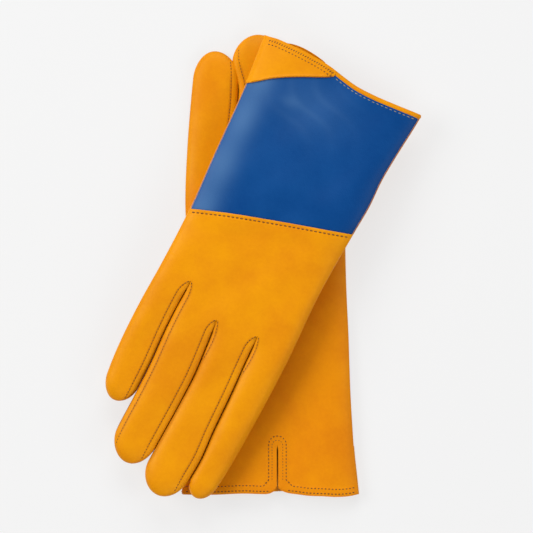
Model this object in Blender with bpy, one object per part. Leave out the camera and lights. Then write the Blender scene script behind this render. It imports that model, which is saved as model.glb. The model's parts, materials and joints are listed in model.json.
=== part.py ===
"""A pair of leather gauntlet gloves lying as a pair is laid out: the left glove palm up on the
table, and the right glove across it, back up, with both thumbs folded in between the two palms.

Each glove is an assembly of cut leather pieces: back and palm sheets, side strips, fourchettes
between the fingers, a thumb stall and a gauntlet of a second colour. Where the leather folds,
the pieces are parted by a small gap, so that fingers, thumbs and the upper gauntlet can turn.

A glove's own frame starts in the middle of the wrist: +Y to the fingertips, -X to the index
finger, +Z up as the glove lies, and z = 0 at its underside. Both gloves have the index finger at
-X, because the left glove is palm up and the right glove is back up. All sizes are in metres.
"""

import math

import bpy

# Leather and clearances.
LEATHER = 0.0010
SEAM_GAP = 0.0003
FINGER_GAP = 0.0009
FOLD_GAP = 0.0030
RESTING_GAP = 0.0003

# One glove, flat. Distances along it are from the wrist's fold.
GLOVE_DEPTH = 0.0095
GAUNTLET_LENGTH = 0.070
HEM_WIDTH = 0.098
WAIST_WIDTH = 0.0845
WAIST_Y = 0.041
ROOT_Y = {"index": 0.082, "middle": 0.082, "ring": 0.082, "little": 0.071}
FINGER_LENGTH = {"index": 0.0943, "middle": 0.1023, "ring": 0.0940, "little": 0.0769}
TIP_TAPER = 0.93
TIP_SHARE = 0.62

# The fingers of each glove lie differently, so their flat widths and their droop differ.
LAID_WIDTH = {
    "right": {"index": 0.0189, "middle": 0.0234, "ring": 0.0222, "little": 0.0197},
    "left": {"index": 0.0244, "middle": 0.0244, "ring": 0.0200, "little": 0.0182},
}
DROOP = {
    "right": {"index": 4.5, "middle": 4.5, "ring": 5.5, "little": 9.0},
    "left": {"index": 0.0, "middle": 0.0, "ring": 0.0, "little": 0.0},
}
GAUNTLET_DROOP = 7.0

# The seam between the blue gauntlet and the yellow back runs across at a slant.
SEAM_INDEX_Y = 0.0066
SEAM_LITTLE_Y = 0.034

# The yellow corner patch on the blue panel, on the little finger's side, measured from the hem.
PATCH_INNER_X = 0.004
PATCH_SIDE_LENGTH = 0.027
PATCH_BOW = 0.0025

# The rolled binding along the blue panel's hem.
BINDING_DIAMETER = 0.0022

# The slit in the palm side's hem, and the facing sewn round it on the inside.
VENT_X = 0.006
VENT_LENGTH = 0.027
VENT_WIDTH = 0.0014
VENT_MOUTH_RADIUS = 0.005
FACING_BORDER = 0.0055
FACING_THICKNESS = 0.0008

# The thumb stall, folded in over the palm, with its tip just short of the fingers' roots.
THUMB_DEPTH = 0.0070
THUMB_X = -0.031
THUMB_ROOT_RADIUS = 0.011
THUMB_TIP_RADIUS = 0.0095
THUMB_REACH = 0.050
THUMB_TURN = -8.0
THUMB_TIP_GAP = 0.001
THUMB_HOLE_RADIUS = 0.0085

# Where the two wrists lie, and how the right glove lies on the left one.
LEFT_WRIST_Y = -0.057
RIGHT_WRIST = (0.0096, 0.0429)
RIGHT_TURN = 153.7
THUMB_ROOM = 0.0028

ARC_STEPS = 8
FINGERS = ("index", "middle", "ring", "little")
HEM_Y = -GAUNTLET_LENGTH


def clear_scene():
    for old in list(bpy.data.objects):
        bpy.data.objects.remove(old)


def leather(name, colour, roughness):
    """A finished leather of one colour."""
    material = bpy.data.materials.new(name)
    material.use_nodes = True
    shader = material.node_tree.nodes["Principled BSDF"]
    shader.inputs["Base Color"].default_value = (*colour, 1.0)
    shader.inputs["Roughness"].default_value = roughness
    shader.inputs["Metallic"].default_value = 0.0
    return material


def frame_at(name, parent, place, turn_x=0.0, turn_z=0.0):
    """An empty that carries pieces, with its origin on the fold or joint that they turn about."""
    empty = bpy.data.objects.new(name, None)
    bpy.context.scene.collection.objects.link(empty)
    empty.parent = parent
    empty.location = place
    empty.rotation_euler = (math.radians(turn_x), 0.0, math.radians(turn_z))
    return empty


def flat_piece(name, loops, bottom, thickness, material, parent):
    """A piece cut from flat leather: closed loops of (x, y), the later ones holes, thickened upwards."""
    curve = bpy.data.curves.new(name, "CURVE")
    curve.dimensions = "2D"
    curve.fill_mode = "BOTH"
    curve.extrude = thickness / 2
    for loop in loops:
        spline = curve.splines.new("POLY")
        spline.points.add(len(loop) - 1)
        for point, (x, y) in zip(spline.points, loop):
            point.co = (x, y, 0.0, 1.0)
        spline.use_cyclic_u = True
    curve.materials.append(material)
    piece = bpy.data.objects.new(name, curve)
    GLOVES.objects.link(piece)
    piece.parent = parent
    piece.location = (0.0, 0.0, bottom + thickness / 2)


def arc(centre, radius_x, radius_y, start, end, steps=ARC_STEPS):
    """Points round an ellipse's arc, with the angles in degrees."""
    points = []
    for i in range(steps + 1):
        angle = math.radians(start + (end - start) * i / steps)
        points.append((centre[0] + radius_x * math.cos(angle), centre[1] + radius_y * math.sin(angle)))
    return points


def strip(path, width):
    """The outline of a strip that follows a path and stands to the left of it."""
    inner = []
    for i, (x, y) in enumerate(path):
        before = path[max(i - 1, 0)]
        after = path[min(i + 1, len(path) - 1)]
        along_x = after[0] - before[0]
        along_y = after[1] - before[1]
        length = math.hypot(along_x, along_y)
        inner.append((x - along_y / length * width, y + along_x / length * width))
    return path + inner[::-1]


def finger_places(hand):
    """Each finger's middle at its root, from the laid widths, and half the knuckles' width."""
    widths = LAID_WIDTH[hand]
    half = (sum(widths.values()) + FINGER_GAP * (len(FINGERS) - 1)) / 2
    places, edge = {}, -half
    for finger in FINGERS:
        places[finger] = edge + widths[finger] / 2
        edge += widths[finger] + FINGER_GAP
    return places, half


def hand_end(finger):
    """Where the hand's sheets stop short of a finger's fold."""
    return ROOT_Y[finger] - FOLD_GAP / 2


def half_width(y, knuckles):
    """Half the glove's width: straight sides from the hem to the waist, then out to the knuckles."""
    if y <= WAIST_Y:
        share = (y - HEM_Y) / (WAIST_Y - HEM_Y)
        return (HEM_WIDTH + (WAIST_WIDTH - HEM_WIDTH) * share) / 2
    share = min((y - WAIST_Y) / (ROOT_Y["little"] - WAIST_Y), 1.0)
    ease = share * share * (3 - 2 * share)
    return WAIST_WIDTH / 2 + (knuckles - WAIST_WIDTH / 2) * ease


def side_line(start, end, knuckles, side):
    """Points up one side of the glove: side is 1 at the little finger and -1 at the index finger."""
    stations = [start, end]
    if start < WAIST_Y < end:
        stations.append(WAIST_Y)
    first = max(start, WAIST_Y)
    if first < end:
        stations += [first + (end - first) * i / 5 for i in range(1, 5)]
    return [(side * half_width(y, knuckles), y) for y in sorted(stations)]


def knuckle_line(hand, places):
    """The front edge of the hand's sheets, stepped at each finger, from the little to the index."""
    points = []
    for finger in reversed(FINGERS):
        reach = (LAID_WIDTH[hand][finger] + FINGER_GAP) / 2
        points += [(places[finger] + reach, hand_end(finger)), (places[finger] - reach, hand_end(finger))]
    return points[1:-1]


def seam_end(side, knuckles, shift):
    """Where the slanting seam, moved by half its gap, meets one side of the glove."""
    y = SEAM_LITTLE_Y if side > 0 else SEAM_INDEX_Y
    slope = (SEAM_LITTLE_Y - SEAM_INDEX_Y) / WAIST_WIDTH
    middle = (SEAM_LITTLE_Y + SEAM_INDEX_Y) / 2
    for _ in range(4):
        y = middle + slope * side * half_width(y, knuckles) + shift
    return y


def patch_edge(knuckles, shift):
    """The patch's slanting edge from the glove's side to the hem, bowed towards the hem."""
    length = PATCH_SIDE_LENGTH + shift
    start_x = half_width(HEM_Y + length, knuckles)
    end_x = PATCH_INNER_X - shift
    points = []
    for i in range(ARC_STEPS + 1):
        share = i / ARC_STEPS
        bow = PATCH_BOW * math.sin(math.pi * share) * (1 - share)
        points.append((start_x + (end_x - start_x) * share, HEM_Y + length * (1 - share) - bow))
    return points


def vent_notch():
    """The slit's outline from left to right, open at the hem, with a rounded mouth."""
    half, radius = VENT_WIDTH / 2, VENT_MOUTH_RADIUS
    left = arc((VENT_X - half - radius, HEM_Y + radius), radius, radius, -90, 0, 4)
    right = arc((VENT_X + half + radius, HEM_Y + radius), radius, radius, 180, 270, 4)
    top = arc((VENT_X, HEM_Y + VENT_LENGTH), half, half, 180, 0, 4)
    return left + top + right


def hand_outline(hand, places, knuckles, starts, notch=()):
    """A sheet up to the knuckles. starts is where it begins on the index and the little side."""
    loop = list(notch)
    loop += side_line(starts[1], hand_end("little"), knuckles, 1)
    loop += knuckle_line(hand, places)
    loop += side_line(starts[0], hand_end("index"), knuckles, -1)[::-1]
    return loop


def gauntlet_back_outline(knuckles, ends):
    """The blue sheet round the corner patch, up to its ends on the index and the little side."""
    edge = patch_edge(knuckles, SEAM_GAP / 2)[::-1]
    loop = edge + side_line(edge[-1][1], ends[1], knuckles, 1)[1:]
    return loop + side_line(HEM_Y, ends[0], knuckles, -1)[::-1]


def seam_ends(knuckles, shift):
    return seam_end(-1, knuckles, shift), seam_end(1, knuckles, shift)


def capsule(root_radius, tip_radius):
    """The thumb's outline: two circles joined by tangents, pointing along +Y from its root."""
    lean = math.degrees(math.asin((root_radius - tip_radius) / THUMB_REACH))
    tip = arc((0.0, THUMB_REACH), tip_radius, tip_radius, lean, 180 - lean, ARC_STEPS + 2)
    root = arc((0.0, 0.0), root_radius, root_radius, 180 - lean, 360 + lean, ARC_STEPS + 4)
    return tip + root


def thumb_place():
    """The thumb's root on the palm, set back so that the tip stays short of the fingers."""
    along = THUMB_TIP_RADIUS + THUMB_REACH * math.cos(math.radians(THUMB_TURN))
    return THUMB_X, hand_end("index") - THUMB_TIP_GAP - along


def thumb_hole(centre):
    """The round hole that joins the thumb stall to the hand."""
    return arc(centre, THUMB_HOLE_RADIUS, THUMB_HOLE_RADIUS, 0, 337.5, 15)


def build_thumb(hand, glove, palm_up):
    """The thumb stall on the palm: an inner sheet with the hole, an outer sheet and a side strip."""
    root = GLOVE_DEPTH + RESTING_GAP if palm_up else -RESTING_GAP - THUMB_DEPTH
    frame = frame_at(f"{hand}_thumb_root", glove, (*thumb_place(), root), turn_z=THUMB_TURN)
    inner, outer = (0.0, THUMB_DEPTH - LEATHER) if palm_up else (THUMB_DEPTH - LEATHER, 0.0)
    outline = capsule(THUMB_ROOT_RADIUS, THUMB_TIP_RADIUS)
    inside = capsule(THUMB_ROOT_RADIUS - LEATHER, THUMB_TIP_RADIUS - LEATHER)
    holed = [outline, thumb_hole((0.0, 0.0))]
    flat_piece(f"{hand}_thumb_inner", holed, inner, LEATHER, YELLOW, frame)
    flat_piece(f"{hand}_thumb_outer", [outline], outer, LEATHER, YELLOW, frame)
    bottom = LEATHER + SEAM_GAP
    flat_piece(f"{hand}_thumb_side", [outline, inside], bottom, THUMB_DEPTH - 2 * bottom, YELLOW, frame)


def build_finger(hand, glove, finger, place, palm_up):
    """One finger stall from its fold: back, palm, and two strips between them that meet at the tip."""
    width, droop = LAID_WIDTH[hand][finger], DROOP[hand][finger]
    root = (place, ROOT_Y[finger], GLOVE_DEPTH)
    frame = frame_at(f"{hand}_{finger}_root", glove, root, turn_x=-droop)
    start = FOLD_GAP / 2 + GLOVE_DEPTH * math.sin(math.radians(droop))
    tip = width * TIP_SHARE
    shoulder = FINGER_LENGTH[finger] - tip
    half, narrow = width / 2, width / 2 * TIP_TAPER
    outline = [(-half, start), (half, start)] + arc((0.0, shoulder), narrow, tip, 0, 180, 2 * ARC_STEPS)
    upper, lower = ("palm", "back") if palm_up else ("back", "palm")
    flat_piece(f"{hand}_{finger}_{upper}", [outline], -LEATHER, LEATHER, YELLOW, frame)
    flat_piece(f"{hand}_{finger}_{lower}", [outline], -GLOVE_DEPTH, LEATHER, YELLOW, frame)
    apart = math.degrees(SEAM_GAP / narrow)
    path = [(half, start)] + arc((0.0, shoulder), narrow, tip, 0, 90 - apart)
    bottom = LEATHER + SEAM_GAP
    for side in (1, -1):
        towards = FINGERS.index(finger) + side
        name = f"{hand}_{finger}_edge"
        if 0 <= towards < len(FINGERS):
            name = f"{hand}_{finger}_fourchette_{FINGERS[towards]}"
        ribbon = [(side * x, y) for x, y in strip(path, LEATHER)]
        flat_piece(name, [ribbon], bottom - GLOVE_DEPTH, GLOVE_DEPTH - 2 * bottom, YELLOW, frame)


def build_sides(name, start, ends, knuckles, frame):
    """The strips between the back and the palm, up the glove's index and little sides."""
    bottom = LEATHER + SEAM_GAP
    for side, end, last in ((-1, ends[0], "index"), (1, ends[1], "little")):
        path = side_line(start, end, knuckles, 1)
        ribbon = [(side * x, y) for x, y in strip(path, LEATHER)]
        flat_piece(f"{name}_{last}_side", [ribbon], bottom, GLOVE_DEPTH - 2 * bottom, YELLOW, frame)


def build_hem(hand, palm_up, knuckles, frame):
    """What finishes the gauntlet: the corner patch, the rolled binding and the facing at the slit."""
    back_bottom = 0.0 if palm_up else GLOVE_DEPTH - LEATHER
    patch = [(half_width(HEM_Y, knuckles), HEM_Y)] + patch_edge(knuckles, -SEAM_GAP / 2)
    flat_piece(f"{hand}_corner_patch", [patch], back_bottom, LEATHER, YELLOW, frame)

    radius = BINDING_DIAMETER / 2
    curve = bpy.data.curves.new(f"{hand}_hem_binding", "CURVE")
    curve.dimensions = "3D"
    curve.bevel_depth = radius
    curve.bevel_resolution = 2
    curve.use_fill_caps = True
    spline = curve.splines.new("POLY")
    spline.points.add(1)
    height = radius if palm_up else GLOVE_DEPTH - radius
    y = HEM_Y - radius - SEAM_GAP
    spline.points[0].co = (PATCH_INNER_X, y, height, 1.0)
    spline.points[1].co = (-half_width(HEM_Y, knuckles), y, height, 1.0)
    curve.materials.append(YELLOW)
    binding = bpy.data.objects.new(f"{hand}_hem_binding", curve)
    GLOVES.objects.link(binding)
    binding.parent = frame

    slit, mouth = VENT_WIDTH / 2, HEM_Y + VENT_MOUTH_RADIUS
    top = (VENT_X, HEM_Y + VENT_LENGTH)
    inner = arc(top, slit, slit, 180, 0, 4)
    outer = arc(top, slit + FACING_BORDER, slit + FACING_BORDER, 0, 180)
    facing = [(inner[0][0], mouth)] + inner + [(inner[-1][0], mouth)]
    facing += [(outer[0][0], mouth)] + outer + [(outer[-1][0], mouth)]
    inside = LEATHER + SEAM_GAP
    bottom = GLOVE_DEPTH - inside - FACING_THICKNESS if palm_up else inside
    flat_piece(f"{hand}_vent_facing", [facing], bottom, FACING_THICKNESS, YELLOW, frame)


def build_left(glove):
    """The left glove lies palm up, and is one body but for its fingers and thumb."""
    places, knuckles = finger_places("left")
    palm = hand_outline("left", places, knuckles, (HEM_Y, HEM_Y), vent_notch())
    holed = [palm, thumb_hole(thumb_place())]
    flat_piece("left_palm", holed, GLOVE_DEPTH - LEATHER, LEATHER, YELLOW, glove)
    blue = gauntlet_back_outline(knuckles, seam_ends(knuckles, -SEAM_GAP / 2))
    flat_piece("left_gauntlet_back", [blue], 0.0, LEATHER, BLUE, glove)
    back = hand_outline("left", places, knuckles, seam_ends(knuckles, SEAM_GAP / 2))
    flat_piece("left_hand_back", [back], 0.0, LEATHER, YELLOW, glove)
    build_sides("left_glove", HEM_Y, (hand_end("index"), hand_end("little")), knuckles, glove)
    build_hem("left", True, knuckles, glove)
    build_thumb("left", glove, True)
    for finger in FINGERS:
        build_finger("left", glove, finger, places[finger], True)


def build_right(glove):
    """The right glove lies back up, and its gauntlet folds at the wrist."""
    places, knuckles = finger_places("right")
    start, back_bottom = FOLD_GAP / 2, GLOVE_DEPTH - LEATHER
    palm = hand_outline("right", places, knuckles, (start, start))
    flat_piece("right_hand_palm", [palm, thumb_hole(thumb_place())], 0.0, LEATHER, YELLOW, glove)
    low, high = seam_ends(knuckles, -SEAM_GAP / 2)
    wrist = side_line(start, high, knuckles, 1) + side_line(start, low, knuckles, -1)[::-1]
    flat_piece("right_wrist_back", [wrist], back_bottom, LEATHER, BLUE, glove)
    back = hand_outline("right", places, knuckles, seam_ends(knuckles, SEAM_GAP / 2))
    flat_piece("right_hand_back", [back], back_bottom, LEATHER, YELLOW, glove)
    build_sides("right_hand", start, (hand_end("index"), hand_end("little")), knuckles, glove)
    build_thumb("right", glove, False)
    for finger in FINGERS:
        build_finger("right", glove, finger, places[finger], False)
    build_right_gauntlet(glove, knuckles)


def build_right_gauntlet(glove, knuckles):
    """The upper gauntlet, which droops from its fold at the back of the wrist."""
    fold = frame_at("right_wrist_fold", glove, (0.0, 0.0, GLOVE_DEPTH), turn_x=GAUNTLET_DROOP)
    frame = frame_at("right_gauntlet_frame", fold, (0.0, 0.0, -GLOVE_DEPTH))
    end = -FOLD_GAP / 2 - GLOVE_DEPTH * math.sin(math.radians(GAUNTLET_DROOP))
    palm = vent_notch() + side_line(HEM_Y, end, knuckles, 1) + side_line(HEM_Y, end, knuckles, -1)[::-1]
    flat_piece("right_gauntlet_palm", [palm], 0.0, LEATHER, YELLOW, frame)
    blue = gauntlet_back_outline(knuckles, (end, end))
    flat_piece("right_gauntlet_back", [blue], GLOVE_DEPTH - LEATHER, LEATHER, BLUE, frame)
    build_sides("right_gauntlet", HEM_Y, (end, end), knuckles, frame)
    build_hem("right", False, knuckles, frame)


clear_scene()
GLOVES = bpy.data.collections.new("gauntlet_gloves")
bpy.context.scene.collection.children.link(GLOVES)
YELLOW = leather("yellow_leather", (0.83, 0.38, 0.03), 0.5)
BLUE = leather("blue_leather", (0.02, 0.09, 0.32), 0.42)

build_left(frame_at("left_glove", None, (0.0, LEFT_WRIST_Y, 0.0)))
right_height = GLOVE_DEPTH + THUMB_DEPTH + 2 * RESTING_GAP + THUMB_ROOM
build_right(frame_at("right_glove", None, (*RIGHT_WRIST, right_height), turn_z=RIGHT_TURN))
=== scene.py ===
import functools
import json
import math

import bpy
import numpy as np
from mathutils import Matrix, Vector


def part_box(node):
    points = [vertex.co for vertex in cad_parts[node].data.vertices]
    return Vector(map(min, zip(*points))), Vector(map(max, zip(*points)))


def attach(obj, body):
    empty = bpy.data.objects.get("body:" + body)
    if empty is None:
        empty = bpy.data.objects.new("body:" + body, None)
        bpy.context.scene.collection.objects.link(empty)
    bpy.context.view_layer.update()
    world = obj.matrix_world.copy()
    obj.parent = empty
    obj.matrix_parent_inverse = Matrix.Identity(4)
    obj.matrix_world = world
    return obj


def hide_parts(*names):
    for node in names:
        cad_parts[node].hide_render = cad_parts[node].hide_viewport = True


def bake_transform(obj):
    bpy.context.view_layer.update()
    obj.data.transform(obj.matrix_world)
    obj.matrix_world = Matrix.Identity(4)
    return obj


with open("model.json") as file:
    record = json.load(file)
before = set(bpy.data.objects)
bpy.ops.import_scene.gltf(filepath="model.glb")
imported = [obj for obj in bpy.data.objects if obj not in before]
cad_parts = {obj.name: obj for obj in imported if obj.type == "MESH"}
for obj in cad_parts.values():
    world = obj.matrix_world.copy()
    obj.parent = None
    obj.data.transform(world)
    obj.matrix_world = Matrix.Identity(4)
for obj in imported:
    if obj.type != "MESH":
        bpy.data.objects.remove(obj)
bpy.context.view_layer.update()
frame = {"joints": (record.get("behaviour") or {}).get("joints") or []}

# Yellow leather. Smooth full-grain leather, dyed through and finished with a light wax. The
# pieces are die-cut with the grain outwards, so a cut edge shows the paler flesh side.

YELLOW_PLAIN = (0.790, 0.300, 0.0010, 1.0)
YELLOW_DEEP = (0.690, 0.220, 0.0006, 1.0)
# Painted shade: darker copies of the yellow dyes, laid over the palms and faded out up the fingers'
# palm side.
PALM_SHADED_PLAIN = (0.790, 0.275, 0.0012, 1.0)
PALM_SHADED_DEEP = (0.690, 0.200, 0.0008, 1.0)
YELLOW_SEAM = (0.380, 0.110, 0.0020, 1.0)
# Painted shade for the bottoms of the slits between the fingers.
YELLOW_CREASE_SHADE = (0.170, 0.042, 0.0020, 1.0)
FLESH_SIDE = (0.800, 0.350, 0.0450, 1.0)
LEATHER_THICKNESS = 0.9


def add_group(name, inputs, outputs):
    """An empty node group with its sockets, and its two end nodes."""
    group = bpy.data.node_groups.new(name, "ShaderNodeTree")
    for kind, label, value in inputs:
        socket = group.interface.new_socket(label, in_out="INPUT", socket_type=kind)
        if value is not None:
            socket.default_value = value
    for kind, label in outputs:
        group.interface.new_socket(label, in_out="OUTPUT", socket_type=kind)
    start = group.nodes.new("NodeGroupInput")
    end = group.nodes.new("NodeGroupOutput")
    return group, start, end


def noise_in(nodes, links, vector, scale, detail, roughness=0.5):
    """A noise texture that reads a vector."""
    noise = nodes.new("ShaderNodeTexNoise")
    noise.inputs["Scale"].default_value = scale
    noise.inputs["Detail"].default_value = detail
    noise.inputs["Roughness"].default_value = roughness
    links.new(vector, noise.inputs["Vector"])
    return noise.outputs["Fac"]


def remap(nodes, links, value, low, high, to_low=0.0, to_high=1.0):
    """A value spread from one range onto another."""
    spread = nodes.new("ShaderNodeMapRange")
    spread.inputs["From Min"].default_value = low
    spread.inputs["From Max"].default_value = high
    spread.inputs["To Min"].default_value = to_low
    spread.inputs["To Max"].default_value = to_high
    links.new(value, spread.inputs["Value"])
    return spread.outputs["Result"]


def mix_colours(nodes, links, share, first, second):
    """Two colours mixed by a share, each a socket or a plain colour."""
    mix = nodes.new("ShaderNodeMix")
    mix.data_type = "RGBA"
    links.new(share, mix.inputs["Factor"])
    for socket, colour in ((mix.inputs["A"], first), (mix.inputs["B"], second)):
        if isinstance(colour, tuple):
            socket.default_value = colour
        else:
            links.new(colour, socket)
    return mix.outputs["Result"]


def scaled_sum(nodes, links, parts):
    """The sum of values, each times its own weight."""
    total = None
    for value, weight in parts:
        add = nodes.new("ShaderNodeMath")
        add.operation = "MULTIPLY_ADD"
        links.new(value, add.inputs[0])
        add.inputs[1].default_value = weight
        add.inputs[2].default_value = 0.0
        if total is not None:
            links.new(total, add.inputs[2])
        total = add.outputs[0]
    return total


def combine(nodes, links, operation, first, second):
    """Two values taken together by one operation."""
    both = nodes.new("ShaderNodeMath")
    both.operation = operation
    links.new(first, both.inputs[0])
    links.new(second, both.inputs[1])
    return both.outputs[0]


def make_grain_group():
    """The fine pebble of smooth leather, its soft creases and the mottling of its dye."""
    inputs = (
        ("NodeSocketVector", "Place", None),
        ("NodeSocketColor", "Plain", (0.5, 0.5, 0.5, 1.0)),
        ("NodeSocketColor", "Deep", (0.3, 0.3, 0.3, 1.0)),
        ("NodeSocketFloat", "Mottle", 0.6),
        ("NodeSocketFloat", "Smoothness", 0.42),
    )
    outputs = (
        ("NodeSocketColor", "Colour"),
        ("NodeSocketFloat", "Roughness"),
        ("NodeSocketFloat", "Height"),
    )
    group, start, end = add_group("leather_grain", inputs, outputs)
    nodes, links = group.nodes, group.links
    place = start.outputs["Place"]
    broad = noise_in(nodes, links, place, 26.0, 3.0)
    cloud = noise_in(nodes, links, place, 95.0, 4.0, 0.6)
    fine = noise_in(nodes, links, place, 620.0, 2.0)
    pores = nodes.new("ShaderNodeTexVoronoi")
    pores.inputs["Scale"].default_value = 1500.0
    links.new(place, pores.inputs["Vector"])
    tone = scaled_sum(nodes, links, ((broad, 0.55), (cloud, 0.30), (fine, 0.15)))
    share = remap(nodes, links, tone, 0.38, 0.64)
    strength = combine(nodes, links, "MULTIPLY", share, start.outputs["Mottle"])
    colour = mix_colours(nodes, links, strength, start.outputs["Plain"], start.outputs["Deep"])
    links.new(colour, end.inputs["Colour"])
    change = remap(nodes, links, tone, 0.3, 0.7, -0.06, 0.08)
    rough = combine(nodes, links, "ADD", change, start.outputs["Smoothness"])
    links.new(rough, end.inputs["Roughness"])
    height = scaled_sum(
        nodes, links, ((pores.outputs["Distance"], 0.30), (fine, 0.45), (cloud, 0.9))
    )
    links.new(height, end.inputs["Height"])
    return group


GRAIN = make_grain_group()


def new_material(name):
    """A material, with its nodes, its links and its shader."""
    material = bpy.data.materials.new(name)
    material.use_nodes = True
    nodes, links = material.node_tree.nodes, material.node_tree.links
    return material, nodes, links, nodes["Principled BSDF"]


def add_bump(nodes, links, shader, height, strength, distance):
    """Roughens what a shader shows by a height."""
    bump = nodes.new("ShaderNodeBump")
    bump.inputs["Strength"].default_value = strength
    bump.inputs["Distance"].default_value = distance
    links.new(height, bump.inputs["Height"])
    links.new(bump.outputs["Normal"], shader.inputs["Normal"])


def leather_material(name, dyes, painted_light_dyes, seam, crease_shade, mottle, gloss, roughness):
    """Leather with grain and mottled dye. Its seam attribute goes from 0 to 1 at a seam, where the
    dye is darker, and on to 2 where painted shade is laid into the bottom of a slit between the
    fingers. Its tone goes from 0 to 1 as its two dyes change to two painted-light dyes: painted shade
    on the yellow palms, and painted sheen with paler streaks on the blue."""
    material, nodes, links, shader = new_material(name)
    place = nodes.new("ShaderNodeTexCoord")
    grain = nodes.new("ShaderNodeGroup")
    grain.node_tree = GRAIN
    tone = nodes.new("ShaderNodeAttribute")
    tone.attribute_name = "tone"
    # The tone mixes each dye towards a painted-light dye: painted shade on the yellow palms, painted
    # sheen and streaks on the blue.
    for label, dye, painted_light_and_streaks in zip(("Plain", "Deep"), dyes, painted_light_dyes):
        links.new(mix_colours(nodes, links, tone.outputs["Fac"], dye, painted_light_and_streaks), grain.inputs[label])
    grain.inputs["Mottle"].default_value = mottle
    grain.inputs["Smoothness"].default_value = roughness
    links.new(place.outputs["Object"], grain.inputs["Place"])
    edge = nodes.new("ShaderNodeAttribute")
    edge.attribute_name = "seam"
    # Up to 1 the seam attribute darkens the dye along a seam. From 1 to 2 it lays painted shade into
    # the slits between the fingers.
    near = remap(nodes, links, edge.outputs["Fac"], 0.0, 1.0, 0.0, 0.7)
    crease_shade_share = remap(nodes, links, edge.outputs["Fac"], 1.0, 2.0, 0.0, 0.92)
    dyed = mix_colours(nodes, links, near, grain.outputs["Colour"], seam)
    links.new(mix_colours(nodes, links, crease_shade_share, dyed, crease_shade), shader.inputs["Base Color"])
    links.new(grain.outputs["Roughness"], shader.inputs["Roughness"])
    add_bump(nodes, links, shader, grain.outputs["Height"], 0.22, 0.0004)
    shader.inputs["Specular IOR Level"].default_value = gloss
    return material


YELLOW = leather_material(
    "yellow_leather",
    (YELLOW_PLAIN, YELLOW_DEEP),
    (PALM_SHADED_PLAIN, PALM_SHADED_DEEP),
    YELLOW_SEAM,
    YELLOW_CREASE_SHADE,
    0.9,
    0.10,
    0.46,
)


def fibrous_material(name, colour, shade, scale, detail, noise_roughness, matt, bump):
    """A matt surface of fibres, from a darker shade of its colour up to the colour itself."""
    material, nodes, links, shader = new_material(name)
    place = nodes.new("ShaderNodeTexCoord")
    fibres = noise_in(nodes, links, place.outputs["Object"], scale, detail, noise_roughness)
    darker = tuple(shade * part for part in colour[:3]) + (1.0,)
    links.new(mix_colours(nodes, links, fibres, darker, colour), shader.inputs["Base Color"])
    links.new(remap(nodes, links, fibres, 0.3, 0.7, *matt), shader.inputs["Roughness"])
    add_bump(nodes, links, shader, fibres, *bump)
    return material


# A cut edge shows the leather's fibrous flesh side.
FLESH = fibrous_material(
    "leather_flesh_side", FLESH_SIDE, 0.72, 900.0, 4.0, 0.7, (0.85, 0.95), (0.5, 0.0003)
)

# How each glove lies. A glove's plan is in millimetres: x from the index finger's side to the
# little finger's, y from the wrist's fold to the fingertips, z up from the glove's underside.
# The leather is pressed flat, so each finger is a flattened tube with its slits stitched in.

FINGERS = ("index", "middle", "ring", "little")
MM = 0.001
HEM_Y = -70.0
MIDDLE_Z = 4.85
ARCH_LENGTH = 9.0
ARCH_HALF = 2.0
WALL_LENGTH = 11.0
ROUNDING = 11.0
GAUNTLET_ROUNDING = 22.0
TIP_SHARE = 0.62
KNUCKLE_Y = 82.0
LITTLE_KNUCKLE_Y = 71.0
HIDDEN_SEAM = 1.3
UNDER_POWER = 3.4
UPPER_POWER = 2.6
WIDE_SEAM_POWER = 4.6
SIDE_POWER = 2.4
JOINTS = {joint["name"]: joint for joint in frame["joints"]}


def ease(share):
    """A smooth step from 0 to 1."""
    share = np.clip(share, 0.0, 1.0)
    return share * share * (3.0 - 2.0 * share)


def curve_through(points, y):
    """x at y on a smooth curve through a few (y, x) points."""
    ys, xs = np.array(points, float).T
    slopes = np.gradient(xs, ys)
    y = np.clip(y, ys[0], ys[-1])
    i = np.clip(np.searchsorted(ys, y) - 1, 0, len(ys) - 2)
    step = ys[i + 1] - ys[i]
    t = (y - ys[i]) / step
    rise = (2 * t**3 - 3 * t**2 + 1) * xs[i] + (3 * t**2 - 2 * t**3) * xs[i + 1]
    return rise + step * ((t**3 - 2 * t**2 + t) * slopes[i] + (t**3 - t**2) * slopes[i + 1])


def bent(distance, run, degrees):
    """How far a sheet has dropped after a distance, if it turns down smoothly over a run."""
    distance = np.maximum(distance, 0.0)
    turning = np.minimum(distance, run)
    return math.tan(math.radians(degrees)) * (turning**2 / (2 * run) + distance - turning)


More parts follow.
